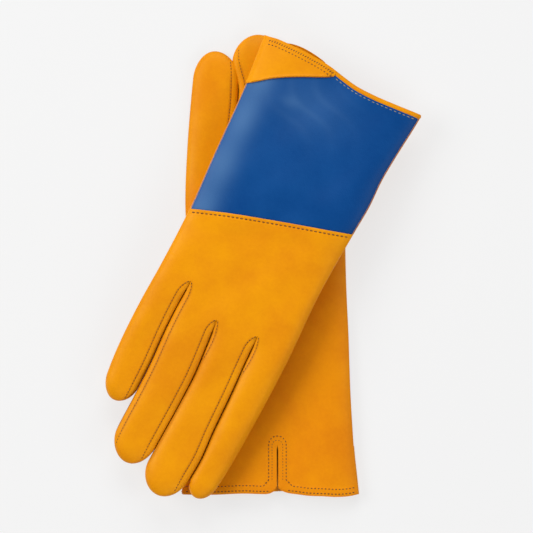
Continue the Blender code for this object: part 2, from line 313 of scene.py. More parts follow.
class Glove:
    """One glove's lay: its five long lines, its fingertips and what lies upwards."""

    def __init__(self, name, wrist, turn, lines, roots, tips, seams, depth_up, depth_down):
        self.name = name
        self.wrist = wrist
        self.turn = math.radians(turn)
        self.lines = lines
        self.roots = roots
        self.tips = tips
        self.seams = seams
        self.depth_up = depth_up
        self.depth_down = depth_down
        # Each finger's droop past its knuckle and the gauntlet's past the wrist, in degrees; the
        # height of the leather's waves; how far the underside is pressed in at the hem; where a
        # slit's side leans over; and the lines of the two hems.
        self.droops = (0.0, 0.0, 0.0, 0.0)
        self.gauntlet_droop = 0.0
        self.waves = 0.0
        self.pinch = 0.0
        self.leans = {}
        self.back_hem = ()
        self.palm_hem = ()

    def line(self, number, y):
        """x of a long line. 0 and 4 are the glove's sides, 1 to 3 its slits."""
        return curve_through(self.lines[number], y)

    def line_at(self, number, y):
        """x of a long line at one y."""
        return self.line(number, np.array([y]))[0]

    def opened(self, number, y):
        """How far a slit's wall stands down at y, from 0 at its top to 1. A side's always does."""
        if number in (0, 4):
            return np.ones_like(y)
        return ease((y - self.roots[number]) / WALL_LENGTH)

    def full_sides(self, finger, y):
        """A finger's two sides, as if its tip weren't rounded."""
        left = self.line(finger, y)
        if finger in self.leans:
            start, run, amount = self.leans[finger]
            left = left + amount * ease((y - start) / run)
        return left, self.line(finger + 1, y)

    def shoulder(self, finger):
        """Where a finger's rounded tip begins, and how long it is."""
        tip_y = np.array([float(self.tips[finger][1])])
        left, right = self.full_sides(finger, tip_y - 12.0)
        length = float(TIP_SHARE * (right - left)[0])
        return tip_y[0] - length, length

    def sides(self, finger, y):
        """A finger's outline at y: its left and right x, and how far into the tip y is."""
        start, length = self.shoulder(finger)
        into = np.clip((y - start) / length, 0.0, 1.0)
        left, right = self.full_sides(finger, y)
        end = np.array([float(self.tips[finger][1])])
        end_left, end_right = self.full_sides(finger, end)
        shift = (self.tips[finger][0] - (end_left + end_right)[0] / 2) * into**2
        middle = (left + right) / 2 + shift
        half = (right - left) / 2 * np.sqrt(1.0 - into**2)
        return middle - half, middle + half, into

    def seam_sides(self, finger, y, up):
        """Where a sheet ends: at its seams, or at the outline where that comes first."""
        left, right, into = self.sides(finger, y)
        full_left, full_right = self.full_sides(finger, y)
        shift = (left + right) / 2 - (full_left + full_right) / 2
        insets = self.seams[finger] if up else (HIDDEN_SEAM, HIDDEN_SEAM)
        seam_left = full_left + shift + self.inset(finger, insets[0], y)
        seam_right = full_right + shift - self.inset(finger + 1, insets[1], y)
        middle = (left + right) / 2
        seam_left = np.minimum(np.maximum(left, seam_left), middle)
        seam_right = np.maximum(np.minimum(right, seam_right), middle)
        return seam_left, seam_right

    def inset(self, number, width, y):
        """How far a seam runs inside a finger's outline: nothing at the top of a slit. A side
        that folds under its neighbour shows its seam only in the slit's pointed top."""
        if number in (0, 4):
            return np.full_like(y, width)
        past = y - self.roots[number]
        wide = width + np.maximum(ARCH_HALF - width, 0.0) * (1.0 - ease((past - 12.0) / 16.0))
        return wide * np.sin(np.clip(past / ARCH_LENGTH, 0.0, 1.0) * math.pi / 2) ** 0.75

    def root(self, finger, share):
        """y of the line where a finger begins, between its two slits."""
        return self.roots[finger] + (self.roots[finger + 1] - self.roots[finger]) * share

    def roundness(self, distance, reach, power):
        """How high a rounded edge stands at a distance from the outline, from 0 to 1."""
        inside = 1.0 - np.clip(distance / reach, 0.0, 1.0)
        return (1.0 - inside**power) ** (1.0 / power)

    def drop(self, finger, y):
        """How far the glove has sagged at y, past its wrist and past its knuckles."""
        fallen = bent(3.0 - y, 8.0, self.gauntlet_droop)
        start = LITTLE_KNUCKLE_Y if finger == 3 else KNUCKLE_Y
        return fallen + bent(y - start, 6.0, self.droops[finger])

    def height(self, finger, x, y, up):
        """z of the leather's outer face, on the upper side or the underside."""
        left, right, into = self.sides(finger, y)
        half = np.maximum((right - left) / 2, 1e-6)
        reach = np.minimum(half, ROUNDING)
        fall = np.zeros_like(x)
        for number, inside, inset in ((finger, x - left, 0), (finger + 1, right - x, 1)):
            power = UNDER_POWER
            if up:
                power = WIDE_SEAM_POWER if self.seams[finger][inset] > 3.0 else UPPER_POWER
            if number not in (0, 4):
                fall = fall + self.opened(number, y) * (1.0 - self.roundness(inside, reach, power))
        broad = ROUNDING + (GAUNTLET_ROUNDING - ROUNDING) * (1.0 - ease((y - 10.0) / 45.0))
        power = SIDE_POWER if up else UNDER_POWER
        if finger == 0:
            fall = fall + 1.0 - self.roundness(x - left, np.where(y > 60.0, reach, broad), power)
        else:
            fall = fall + 1.0 - self.roundness(x - self.line(0, y), broad, power)
        if finger == 3:
            fall = fall + 1.0 - self.roundness(right - x, np.where(y > 60.0, reach, broad), power)
        else:
            fall = fall + 1.0 - self.roundness(self.line(4, y) - x, broad, power)
        share = (1.0 - fall) * (1.0 - into**2.6) ** (1.0 / 2.4)
        share = np.maximum(share, 0.0)
        if not up:
            share = share * (1.0 - self.pinch * ease((HEM_Y + 16.0 - y) / 14.0))
        depth = self.depth_up if up else -self.depth_down
        z = MIDDLE_Z + depth * share - self.drop(finger, y)
        if up:
            wave = np.sin(x * 0.115 + y * 0.031 + 0.7) * np.sin(y * 0.083 - x * 0.047 + 1.9)
            wave = wave + 0.6 * np.sin(x * 0.05 - y * 0.16 + 0.4) * np.sin(x * 0.21 + 2.2)
            z = z + self.waves * wave * share**2
        return z

    def place(self, x, y, z):
        """The row frame's points, in metres, of points in the glove's plan."""
        cos, sin = math.cos(self.turn), math.sin(self.turn)
        points = np.stack((x * cos - y * sin, x * sin + y * cos, z), axis=-1)
        return points * MM + np.array(self.wrist)

    def plan(self, point):
        """x and y in the glove's plan of a point in the row frame."""
        cos, sin = math.cos(self.turn), math.sin(self.turn)
        away_x, away_y = (point[0] - self.wrist[0]) / MM, (point[1] - self.wrist[1]) / MM
        return away_x * cos + away_y * sin, away_y * cos - away_x * sin


LEFT_WRIST = (0.0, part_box("left_gauntlet_back")[0][1] - HEM_Y * MM, 0.0)
LEFT = Glove(
    "left",
    LEFT_WRIST,
    0.0,
    (
        (
            (-76, -49.3), (-40, -47.0), (8, -44.6), (45, -43.6), (92, -46.9), (125, -45.7),
            (156, -43.2), (178, -41.0),
        ),
        (
            (-76, -22.6), (-43, -21.6), (8, -21.5), (80, -21.9), (125, -20.2), (150, -17.4),
            (186, -17.2),
        ),
        ((-76, 4.7), (-43, 4.7), (0, 3.6), (82, 4.6), (125, 5.6), (156, 7.6), (186, 8.2)),
        ((-76, 25.4), (-43, 25.2), (8, 24.0), (72, 25.4), (125, 25.9), (150, 26.1), (178, 26.4)),
        (
            (-76, 50.9), (-62, 49.4), (-46, 47.7), (-30, 46.6), (-14, 45.7), (2, 45.1),
            (18, 44.6), (42, 43.5), (58, 43.0), (72, 42.8), (125, 43.8), (150, 43.4),
        ),
    ),
    (80.0, 80.0, 82.0, 71.0, 68.0),
    ((-30.2, 177.9), (-6.0, 187.2), (16.4, 175.6), (35.2, 147.4)),
    ((0.5, 4.0), (3.7, 0.6), (3.5, 0.6), (3.5, 0.35)),
    4.45,
    3.75,
)
LEFT.waves = 0.16
LEFT.leans = {1: (155.0, 20.0, -3.8)}
LEFT.back_hem = (
    (-60, -69.4), (-30, -69.6), (-4, -68.8), (5, -68.2), (12, -68.4), (24, -69.8), (46, -70.0),
    (60, -69.0),
)
LEFT.palm_hem = (
    (-60, -70.2), (-30, -70.4), (-14, -69.8), (-3, -70.1), (14, -70.0), (22, -71.0), (30, -71.3),
    (38, -71.7), (46, -71.1), (52, -69.7),
)

WRIST_FOLD = JOINTS["right_gauntlet_bend"]["pos_m"]
RIGHT_AXIS = JOINTS["right_index_bend"]["axis"]
RIGHT = Glove(
    "right",
    (WRIST_FOLD[0], WRIST_FOLD[1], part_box("right_hand_palm")[0][2]),
    math.degrees(math.atan2(RIGHT_AXIS[1], RIGHT_AXIS[0])),
    (
        (
            (-76, -49.9), (-60, -48.5), (-44, -46.8), (-28, -45.6), (-12, -45.8), (4, -44.6),
            (42.5, -42.4), (87, -43.0), (125, -41.9), (157, -40.0), (178, -37.4),
        ),
        (
            (-76, -22.8), (-43, -21.8), (8, -21.6), (79.9, -21.9), (95, -22.1), (115, -22.8),
            (140, -23.2), (155, -23.9), (170, -23.0), (186, -21.8),
        ),
        (
            (-76, 4.7), (-43, 4.7), (0, 3.4), (81.8, 2.5), (95, 1.5), (115, 0.3), (135, 0.6),
            (155, 1.5), (170, 2.1), (186, 2.8),
        ),
        (
            (-76, 25.4), (-43, 24.6), (8, 23.8), (68.8, 25.1), (85, 25.8), (100, 25.8),
            (120, 25.0), (140, 25.2), (160, 25.8), (178, 25.0),
        ),
        (
            (-76, 49.6), (-43, 46.6), (0, 45.0), (34, 43.6), (52, 43.8), (68, 44.3), (94, 45.6),
            (124, 45.4), (149, 43.0),
        ),
    ),
    (81.0, 79.9, 81.8, 68.8, 66.0),
    ((-30.6, 176.3), (-10.4, 184.4), (13.2, 175.8), (34.6, 147.6)),
    ((0.35, 0.5), (4.0, 0.5), (3.9, 2.7), (3.8, 0.35)),
    4.6,
    4.7,
)
RIGHT.droops = (4.5, 4.5, 5.5, 9.0)
RIGHT.gauntlet_droop = 7.0
RIGHT.waves = 0.34
RIGHT.pinch = 0.6
RIGHT.back_hem = (
    (-60, -70.4), (-49, -70.3), (-35, -69.3), (-20.5, -68.5), (-9, -68.8), (0, -70.4),
    (8, -72.1), (14, -72.8), (24, -73.2), (36, -73.2), (42, -72.9), (46.5, -72.1), (60, -71.9),
)
RIGHT.palm_hem = (
    (-60, -69.2), (-30, -68.4), (-8, -69.0), (4, -71.0), (12, -73.7), (20, -75.1), (27, -75.5),
    (33, -74.8), (38, -73.2), (44, -72.2), (50, -71.6),
)

# Palms. Each is cut in one from the fingertips to the hem, and slit at the hem so that the
# gauntlet goes over a sleeve. The slit's mouth is rounded off, and its edge is turned in.

VENT_X = 4.7
VENT_TOP = HEM_Y + 27.0
VENT_HALF = 0.42
VENT_MOUTHS = (6.5, 9.5)
VENT_RISE = 5.2
HEM_FOLD = 5.6
STRIP_COLUMNS = 14
HAND_ROWS = 96
MERGE_DISTANCE = 0.01 * MM
SMOOTH_ANGLE = math.radians(50)
PLACKET_HALF = 4.9
PLACKET_LIFT = 0.30
PLACKET_TOP = HEM_Y + 32.5
PALM_SPLIT = 10.0


def select_only(piece):
    """Makes a piece the only one that is selected, and the active one."""
    bpy.ops.object.select_all(action="DESELECT")
    piece.select_set(True)
    bpy.context.view_layer.objects.active = piece


def edit_whole(*steps):
    """Runs steps on the whole mesh of the active piece."""
    bpy.ops.object.mode_set(mode="EDIT")
    bpy.ops.mesh.select_all(action="SELECT")
    for step in steps:
        step()
    bpy.ops.object.mode_set(mode="OBJECT")


def merge_close():
    """Merges corners that lie on each other."""
    bpy.ops.mesh.remove_doubles(threshold=MERGE_DISTANCE)


def face_outwards():
    """Turns all faces of a closed mesh outwards, or a sheet's all one way."""
    bpy.ops.mesh.normals_make_consistent(inside=False)


def laid_grid(name, columns, rows, form):
    """A grid whose corners run from (0, 0) to (1, 1), laid where form puts each point. form gives the
    places in metres, how near each point is to a seam, going on past 1 for painted shade in the
    slits, and, if it likes, its tone, the share of a painted-light dye."""
    bpy.ops.object.select_all(action="DESELECT")
    bpy.ops.mesh.primitive_grid_add(x_subdivisions=columns, y_subdivisions=rows, size=1.0)
    piece = bpy.context.object
    piece.name = name
    flat = np.empty(len(piece.data.vertices) * 3, np.float32)
    piece.data.vertices.foreach_get("co", flat)
    flat = flat.reshape(-1, 3).astype(float) + 0.5
    places, *marks = form(np.clip(flat[:, 0], 0.0, 1.0), np.clip(flat[:, 1], 0.0, 1.0))
    piece.data.vertices.foreach_set("co", np.asarray(places, np.float32).ravel())
    piece.data.update()
    for label, values in zip(("seam", "tone"), marks):
        mark = piece.data.attributes.new(label, "FLOAT", "POINT")
        mark.data.foreach_set("value", np.asarray(values, np.float32))
    return piece


def face_towards(piece, direction):
    """Turns a sheet's faces over if they look away from a direction on the whole."""
    total = np.zeros(3)
    for polygon in piece.data.polygons:
        total += np.array(polygon.normal) * polygon.area
    if total @ np.asarray(direction, float) < 0:
        edit_whole(bpy.ops.mesh.flip_normals)


def join_sheets(name, sheets):
    """Sheets that meet edge to edge, joined and merged into one."""
    bpy.ops.object.select_all(action="DESELECT")
    for sheet in sheets:
        sheet.select_set(True)
    bpy.context.view_layer.objects.active = sheets[0]
    bpy.ops.object.join()
    sheets[0].name = name
    return sheets[0]


def add_thickness(piece, material, thickness=LEATHER_THICKNESS):
    """Gives a sheet its leather, its thickness inwards and its cut edges, and smooths it."""
    piece.data.materials.append(material)
    piece.data.materials.append(FLESH)
    wall = piece.modifiers.new("thickness", "SOLIDIFY")
    wall.thickness = thickness * MM
    wall.offset = -1.0
    wall.material_offset = 1
    wall.material_offset_rim = 1
    bpy.ops.object.modifier_apply(modifier=wall.name)
    bpy.ops.object.shade_smooth_by_angle(angle=SMOOTH_ANGLE)
    return piece


def thicken(piece, direction, material, thickness=LEATHER_THICKNESS):
    """Closes a sheet's poles, faces it towards a direction and gives it its thickness."""
    select_only(piece)
    edit_whole(merge_close)
    face_towards(piece, direction)
    return add_thickness(piece, material, thickness)


def palm_hem(glove):
    """A palm's hem, which rises in a rounded corner on each side of the slit."""

    def hem(x):
        mouth = np.where(x < VENT_X, VENT_MOUTHS[0], VENT_MOUTHS[1])
        near = np.clip(np.abs(x - VENT_X) / mouth, 0.0, 1.0)
        rise = VENT_RISE * (1.0 - np.sqrt(1.0 - (1.0 - near) ** 2))
        return curve_through(glove.palm_hem, x) + rise

    return hem


def hand_sheet(name, glove, up, start, end, first=0, last=3, lift=None, split=False, tone=None):
    """A sheet over the hand, from the line start(x) to the line end(finger, share). first and
    last are the fingers whose width it covers. Its rows are closer towards the start."""
    strips = last - first + 1

    def form(across, along):
        strip = np.minimum((across * strips).astype(int), strips - 1) + first
        share = across * strips + first - strip
        x = np.empty_like(across)
        y = np.empty_like(across)
        z = np.empty_like(across)
        tones = np.zeros_like(across)
        for finger in range(first, last + 1):
            here = strip == finger
            s, v = share[here], along[here] ** 1.4
            top = end(finger, s)
            guess_left, guess_right = glove.seam_sides(finger, top, up)
            guess = guess_left + (guess_right - guess_left) * s
            for _ in range(3):
                low = start(guess)
                yy = low + (top - low) * v
                left, right = glove.seam_sides(finger, yy, up)
                if split:
                    opening = VENT_HALF * ease((VENT_TOP - yy) / 2.0)
                    left = left + (opening if finger == 2 else 0.0)
                    right = right - (opening if finger == 1 else 0.0)
                guess = left + (right - left) * s
            zz = glove.height(finger, guess, yy, up)
            if lift is not None:
                zz = zz + lift(guess, yy, low) * (1 if up else -1)
            x[here], y[here], z[here] = guess, yy, zz
            if tone is not None:
                tones[here] = tone(guess, yy)
        return glove.place(x, y, z), np.zeros_like(across), tones

    return laid_grid(name, STRIP_COLUMNS * strips, HAND_ROWS, form)


def root_line(glove):
    """The line across the roots of the fingers."""
    return lambda finger, share: glove.root(finger, share)


def placket(x, y, low):
    """The raised outline where the facing lies under the slit's edges, and the folded hem."""
    side = ease((PLACKET_HALF + 1.2 - np.abs(x - VENT_X)) / 1.2)
    raised = side * ease((PLACKET_TOP + 1.0 - y) / 1.6)
    folded = ease((HEM_FOLD - y + low) / 1.0)
    rolled = 1.0 - ease((y - low) / 1.2)
    groove = np.exp(-(((y - low - 1.6) / 0.5) ** 2)) * (np.abs(x - VENT_X) > PLACKET_HALF)
    return PLACKET_LIFT * np.maximum(raised, folded) - 0.5 * rolled - 0.14 * groove


def palm_painted_shade(x, y):
    """Painted shade over the whole palm."""
    return np.ones_like(x)


def split_palm(name, glove, up, end):
    """A palm sheet in two halves that part at the slit and are merged above it."""
    halves = []
    for first, last in ((0, 1), (2, 3)):
        halves.append(
            hand_sheet(name, glove, up, palm_hem(glove), end, first, last, placket, True, palm_painted_shade)
        )
    return join_sheets(name, halves)


def upwards(up):
    """The direction that the upper side, or the underside, looks in."""
    return (0.0, 0.0, 1.0 if up else -1.0)


def turn_in_hem(piece, glove):
    """The hem is folded in, so the grain side shows inside it too."""
    for polygon in piece.data.polygons:
        x, y = glove.plan(polygon.center)
        if y < palm_hem(glove)(np.array(x)) + HEM_FOLD:
            polygon.material_index = 0


left_palm = split_palm("left_palm_leather", LEFT, True, root_line(LEFT))
thicken(left_palm, upwards(True), YELLOW)
turn_in_hem(left_palm, LEFT)
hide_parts("left_palm")
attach(left_palm, "left_glove")


def split_line(x):
    """Where the right palm's leather is parted, just above the wrist's fold."""
    return np.full_like(x, PALM_SPLIT)


def split_end(finger, share):
    """The same line, as the end of the gauntlet's part."""
    return split_line(share)


right_gauntlet_palm = split_palm("right_gauntlet_palm_leather", RIGHT, False, split_end)
thicken(right_gauntlet_palm, upwards(False), YELLOW)
turn_in_hem(right_gauntlet_palm, RIGHT)
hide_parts("right_gauntlet_palm")
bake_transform(right_gauntlet_palm)

right_palm = hand_sheet(
    "right_palm_leather", RIGHT, False, split_line, root_line(RIGHT), tone=palm_painted_shade
)
thicken(right_palm, upwards(False), YELLOW)
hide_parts("right_hand_palm")
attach(right_palm, "right_glove")

# Blue gauntlet panels. The same leather dyed blue, cut from the hem to a slanting seam above the
# wrist, where it runs a little way under the yellow back and is topstitched to it.

BLUE_PLAIN = (0.0002, 0.048, 0.205, 1.0)
BLUE_MOTTLED = (0.0020, 0.062, 0.240, 1.0)
# A paler blue for painted sheen, and for paler streaks in the dye near the hem.
BLUE_SHEEN_AND_STREAKS = (0.0620, 0.160, 0.350, 1.0)
BLUE_SEAM = (0.0030, 0.026, 0.090, 1.0)
BACK_SEAM = ((-52, 3.6), (-42, 6.6), (0, 18.7), (24, 26.1), (42, 32.5), (52, 36.0))
UNDER_LAP = 5.0
LAP_HEIGHT = 0.95

BLUE = leather_material(
    "blue_leather",
    (BLUE_PLAIN, BLUE_MOTTLED),
    (BLUE_SHEEN_AND_STREAKS, BLUE_SHEEN_AND_STREAKS),
    BLUE_SEAM,
    BLUE_SEAM,
    0.9,
    0.12,
    0.42,
)


def back_seam(x):
    """The slanting seam, slightly curved, between the blue panel and the yellow back."""
    return curve_through(BACK_SEAM, x)


def back_hem(glove):
    """The back's hem, which waves a little from side to side."""
    return lambda x: curve_through(glove.back_hem, x)


def blue_panel(name, glove, up):
    """The panel, from the hem to a little way under the yellow back."""

    def end(finger, share):
        left, right = glove.line_at(finger, 20.0), glove.line_at(finger + 1, 20.0)
        return back_seam(left + (right - left) * share) + UNDER_LAP

    def sink(x, y, low):
        """The panel goes down under the yellow back's edge."""
        return -0.75 * ease((y - back_seam(x) + 0.5) / 3.0)

    def painted_light_and_streaks(x, y):
        """Painted sheen where the panel folds over and near the hem, with paler streaks that are
        partly the dye's own, partly painted sheen.
        """
        inside = glove.line(4, y) - x
        uneven = 0.88 + 0.12 * np.sin(0.23 * y + 1.0)
        # Painted sheen where the panel rolls over along its side.
        fold = 0.80 * np.exp(-(((inside - 6.5) / 8.0) ** 2)) * uneven
        streak = 0.5 + 0.5 * np.sin(0.27 * x + 0.43 * y + 1.8 * np.sin(0.13 * y - 0.09 * x))
        # Painted sheen near the hem and in one spot. The streaks there are partly the dye's own,
        # partly painted sheen.
        hem = np.exp(-(((y + 48.0) / 16.0) ** 2)) * np.exp(-(((x - 10.0) / 22.0) ** 2))
        sheen_spot = np.exp(-(((x - 20.0) / 5.0) ** 2)) * np.exp(-(((y + 45.0) / 3.2) ** 2))
        return np.clip(fold + 0.14 * streak**3 * hem + 0.26 * hem + 0.26 * sheen_spot, 0.0, 1.0)

    panel = hand_sheet(name, glove, up, back_hem(glove), end, lift=sink, tone=painted_light_and_streaks)
    return thicken(panel, upwards(up), BLUE)


right_blue = blue_panel("right_blue_panel", RIGHT, True)
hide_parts("right_gauntlet_back", "right_wrist_back")
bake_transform(right_blue)

left_blue = blue_panel("left_blue_panel", LEFT, False)
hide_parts("left_gauntlet_back")
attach(left_blue, "left_glove")

# Backs of the hands. Yellow leather from the slanting seam to the roots of the fingers, lapped
# over the blue panel, with the lapped edge thinned and rolled a little.


def lap(x, y, low):
    """The back's lapped edge stands on the blue panel."""
    rolled = LAP_HEIGHT * (1.0 - ease((y - low - 1.5) / 12.0))
    groove = 0.20 * np.exp(-(((y - low - 2.0) / 0.7) ** 2))
    return rolled - groove - 0.35 * (1.0 - ease((y - low) / 0.7))


for glove, up in ((RIGHT, True), (LEFT, False)):
    back = hand_sheet(f"{glove.name}_back_leather", glove, up, back_seam, root_line(glove), lift=lap)
    thicken(back, upwards(up), YELLOW)
    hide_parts(f"{glove.name}_hand_back")
    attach(back, f"{glove.name}_glove")

# Finger stalls. The back's and the palm's leather run on up each finger and meet round its tip.
# The leather is the same piece as the hand's, drawn up over the knuckle.

FINGER_COLUMNS = 14
FINGER_ROWS = 60
STRAIGHT_SHARE = 0.74
# How wide the painted shade along a slit's wall is.
CREASE_SHADE_WIDTH = 0.6
SEAM_WIDTH = 0.6
TONE_LENGTH = 34.0
FOLD_LENGTH = 12.0


def finger_rows(glove, finger, share, along):
    """y of a finger's rows: even up to its rounded tip, then by angle round it."""
    start, length = glove.shoulder(finger)
    low = glove.root(finger, share)
    straight = low + (start - low) * along / STRAIGHT_SHARE
    angle = (along - STRAIGHT_SHARE) / (1.0 - STRAIGHT_SHARE) * math.pi / 2
    return np.where(along < STRAIGHT_SHARE, straight, start + length * np.sin(np.maximum(angle, 0.0)))


def before_tip(glove, finger, y):
    """1 along a finger, easing to 0 where its rounded tip begins."""
    return ease((glove.shoulder(finger)[0] + 5.0 - y) / 8.0)


def crease_shade_at(wall, past):
    """Painted shade close to a slit's wall, from a little past the slit's top."""
    return (1.0 - ease(wall / CREASE_SHADE_WIDTH)) * ease((past - 2.0) / 5.0)


def finger_sheet(name, glove, finger, up, side):
    """A finger's back or palm leather, from its root round its tip."""

    def form(across, along):
        y = finger_rows(glove, finger, across, along)
        left, right = glove.seam_sides(finger, y, up)
        x = left + (right - left) * across
        z = glove.height(finger, x, y, up)
        outline_left, outline_right, _ = glove.sides(finger, y)
        near = np.zeros_like(x)
        sides = ((finger, x - left, x - outline_left), (finger + 1, right - x, outline_right - x))
        for number, inside, wall in sides:
            if number in (0, 4):
                continue
            past = y - glove.roots[number]
            shown = before_tip(glove, finger, y)
            seam_line = np.clip(1.0 - inside / SEAM_WIDTH, 0.0, 1.0) * ease(past / 2.0) * shown
            near = np.maximum(near, seam_line)
            # Painted shade laid along the slit's wall, on top of the seam's darker dye.
            near = near + crease_shade_at(wall, past) * shown * (near > 0)
        # Painted shade on the palm side, fading out up the finger from its root.
        palm_shade_share = 1.0 - ease((y - glove.root(finger, across)) / TONE_LENGTH)
        tone = palm_shade_share if side == "palm" else np.zeros_like(palm_shade_share)
        return glove.place(x, y, z), np.clip(near, 0.0, 2.0), tone

    sheet = laid_grid(name, FINGER_COLUMNS, FINGER_ROWS, form)
    return thicken(sheet, upwards(up), YELLOW)


def bind_to_finger(piece, glove, finger):
    """Bakes a piece's placing into its mesh. Where the finger's fold starts and ends is worked out,
    but not used.
    """
    root = max(glove.roots[finger], glove.roots[finger + 1])
    middle = (glove.line_at(finger, root) + glove.line_at(finger + 1, root)) / 2
    if finger == 3:
        root = LITTLE_KNUCKLE_Y
    start = glove.place(middle, root, MIDDLE_Z)
    end = glove.place(middle, root + FOLD_LENGTH, MIDDLE_Z)
    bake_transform(piece)


for glove, upper, lower in ((RIGHT, "back", "palm"), (LEFT, "palm", "back")):
    for finger, label in enumerate(FINGERS):
        for up, side in ((True, upper), (False, lower)):
            sheet = finger_sheet(f"{glove.name}_{label}_{side}_leather", glove, finger, up, side)
            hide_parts(f"{glove.name}_{label}_{side}")
            bind_to_finger(sheet, glove, finger)

# Side strips and fourchettes. Narrow strips of the same leather between the back and the palm:
# fourchettes line each slit from its pointed top, and plain strips run up the glove's sides.

TUCK = 0.5
STEP_DOWN = 0.28
AROUND_COLUMNS = 16
AROUND_ROWS = 60


def strip_form(glove, finger, side, low, high, ends):
    """Lays a strip from the upper seam, round the outline, to the lower seam."""

    def form(across, along):
        y = low + (high - low) * (np.sin(along * math.pi / 2) ** 0.85 if ends else along)
        left, right, _ = glove.sides(finger, y)
        upper = across < 0.5
        turn = np.abs(1.0 - 2.0 * across)
        z = np.empty_like(y)
        x = np.empty_like(y)
        for up, here in ((True, upper), (False, ~upper)):
            seam_left, seam_right = glove.seam_sides(finger, y[here], up)
            inset = seam_left - left[here] if side < 0 else right[here] - seam_right
            distance = (inset + np.minimum(TUCK, inset)) * turn[here] ** 2.2
            x[here] = left[here] + distance if side < 0 else right[here] - distance
            down = STEP_DOWN * ease((distance - inset + 0.9) / 0.9) * np.minimum(inset, 1.0)
            down = down * ease(3.0 * turn[here])
            z[here] = glove.height(finger, x[here], y[here], up) - down * (1 if up else -1)
        near = 0.7 * ease((turn - 0.86) / 0.1)
        number = finger if side < 0 else finger + 1
        if number in (0, 4):
            return glove.place(x, y, z), np.zeros_like(y)
        # Painted shade along the slit's wall, up to 2 in the seam attribute.
        crease_shade = crease_shade_at(np.minimum(x - left, right - x), y - glove.roots[number])
        crease_shade = crease_shade * before_tip(glove, finger, y)
        return glove.place(x, y, z), np.maximum(near, 2.0 * crease_shade)

    return form


def add_strip(name, glove, finger, side, low, high, ends=False):
    """A strip on a finger's left (-1) or right (1) side, from low to high. If it ends at the
    finger's tip, its rows are closer there."""
    form = strip_form(glove, finger, side, low, high, ends)
    strip = laid_grid(name, AROUND_COLUMNS, AROUND_ROWS, form)
    outward = glove.place(float(side), 0.0, 0.0) - np.array(glove.wrist)
    return thicken(strip, outward, YELLOW)


for glove in (RIGHT, LEFT):
    for finger, label in enumerate(FINGERS):
        start, length = glove.shoulder(finger)
        for side in (-1, 1):
            number = finger if side < 0 else finger + 1
            towards = finger + side
            node = f"{glove.name}_{label}_edge"
            if 0 <= towards < len(FINGERS):
                node = f"{glove.name}_{label}_fourchette_{FINGERS[towards]}"
            width = max(glove.seams[finger][0 if side < 0 else 1], HIDDEN_SEAM)
            half = length / TIP_SHARE / 2
            end = start + length * math.sqrt(1.0 - (1.0 - width / half) ** 2)
            low = glove.roots[number]
            strip = add_strip(f"{node}_leather", glove, finger, side, low, end, ends=True)
            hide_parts(node)
            bind_to_finger(strip, glove, finger)

for finger, side, label in ((0, -1, "index"), (3, 1, "little")):
    number = finger if side < 0 else finger + 1
    name = f"left_glove_{label}_side_leather"
    strip = add_strip(name, LEFT, finger, side, HEM_Y, LEFT.roots[number])
    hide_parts(f"left_glove_{label}_side")
    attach(strip, "left_glove")
    name = f"right_hand_{label}_side_leather"
    strip = add_strip(name, RIGHT, finger, side, PALM_SPLIT, RIGHT.roots[number])
    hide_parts(f"right_hand_{label}_side")
    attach(strip, "right_glove")
    name = f"right_gauntlet_{label}_side_leather"
    strip = add_strip(name, RIGHT, finger, side, HEM_Y, PALM_SPLIT)
    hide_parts(f"right_gauntlet_{label}_side")
    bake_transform(strip)

# Thumb stalls. Two sheets and a strip round them, sewn to the palm round the thumb's hole. Both
# thumbs are folded in over the palm and are pressed flat between the two gloves.

THUMB_REACH = 50.0
THUMB_ROOT_RADIUS = 10.9
THUMB_TIP_RADIUS = 9.4
THUMB_HALF_DEPTH = 3.3
THUMB_SEAM = 1.4
THUMB_TURN = -8.0
THUMB_END_SHARE = 0.2
THUMB_TIP_START = 0.8


class Thumb:
    """A flattened capsule along +y from its root, with the root's middle at the origin."""

    def __init__(self, place, turn):
        self.pivot = np.array(place)
        self.turn = math.radians(turn)

    def half(self, y):
        """Half the thumb's width at y."""
        root = np.sqrt(np.maximum(THUMB_ROOT_RADIUS**2 - np.minimum(y, 0.0) ** 2, 0.0))
        tip = np.sqrt(np.maximum(THUMB_TIP_RADIUS**2 - np.maximum(y - THUMB_REACH, 0.0) ** 2, 0.0))
        share = ease(y / THUMB_REACH)
        return np.where(y < 0, root, np.where(y > THUMB_REACH, tip, root + (tip - root) * share))

    def seam(self, y):
        """How far from the thumb's middle its two sheets end."""
        half = self.half(y)
        return np.minimum(half, np.maximum(half - THUMB_SEAM, 0.86 * half))

    def height(self, x, y):
        """Half the thumb's thickness at a point of its plan."""
        half = np.maximum(self.half(y), 1e-6)
        across = np.clip(1.0 - np.abs(x) / half, 0.0, 1.0)
        end = np.where(y < 0, -y / THUMB_ROOT_RADIUS, (y - THUMB_REACH) / THUMB_TIP_RADIUS)
        end = np.clip(end, 0.0, 1.0)
        rounding = (1.0 - (1.0 - across) ** 2.6) ** (1 / 2.4)
        return THUMB_HALF_DEPTH * rounding * (1.0 - end**2.6) ** (1 / 2.4)

    def place(self, x, y, z):
        """The row frame's points, in metres, of points in the thumb's plan."""
        cos, sin = math.cos(self.turn), math.sin(self.turn)
        points = np.stack((x * cos - y * sin, x * sin + y * cos, z), axis=-1)
        return points * MM + self.pivot


def thumb_rows(along):
    """y of a thumb's rows: by angle round its root and its tip, and even between them."""
    from_root, from_tip = along / THUMB_END_SHARE, (along - THUMB_TIP_START) / THUMB_END_SHARE
    root = -THUMB_ROOT_RADIUS * np.cos(from_root * math.pi / 2)
    tip = THUMB_REACH + THUMB_TIP_RADIUS * np.sin(from_tip * math.pi / 2)
    straight = THUMB_REACH * (along - THUMB_END_SHARE) / (THUMB_TIP_START - THUMB_END_SHARE)
    rows = np.where(along > THUMB_TIP_START, tip, straight)
    return np.where(along < THUMB_END_SHARE, root, rows)


